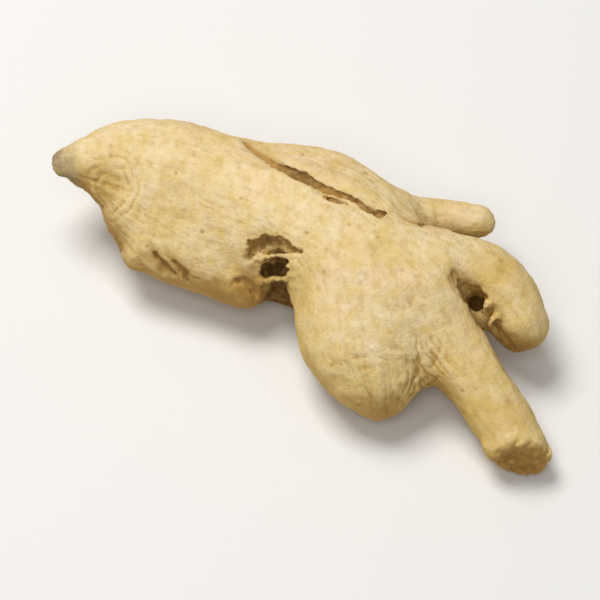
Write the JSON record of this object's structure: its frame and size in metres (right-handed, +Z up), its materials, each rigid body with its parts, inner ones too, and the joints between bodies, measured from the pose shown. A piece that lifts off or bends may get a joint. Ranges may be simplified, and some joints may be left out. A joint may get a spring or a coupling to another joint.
{
  "type": "dried ginger root",
  "caption": "Whole hand of dried ginger root: a smooth beaked head, a round middle lobe, a long finger, a curled knob and a bud behind, grown as one piece",
  "frame": {"origin": "On the ground, under the middle of the root's bounding box as it lies on its flatter side", "axes": "+X along the root from the beaked head to the finger, +Y away from the finger's side, +Z up"},
  "size_m": [0.0688, 0.0518, 0.0195],
  "materials": {
    "root_skin": "matt, chalky, dried skin"
  },
  "bodies": {
    "root": {"ginger_root": "root_skin"}
  },
  "joints": []
}
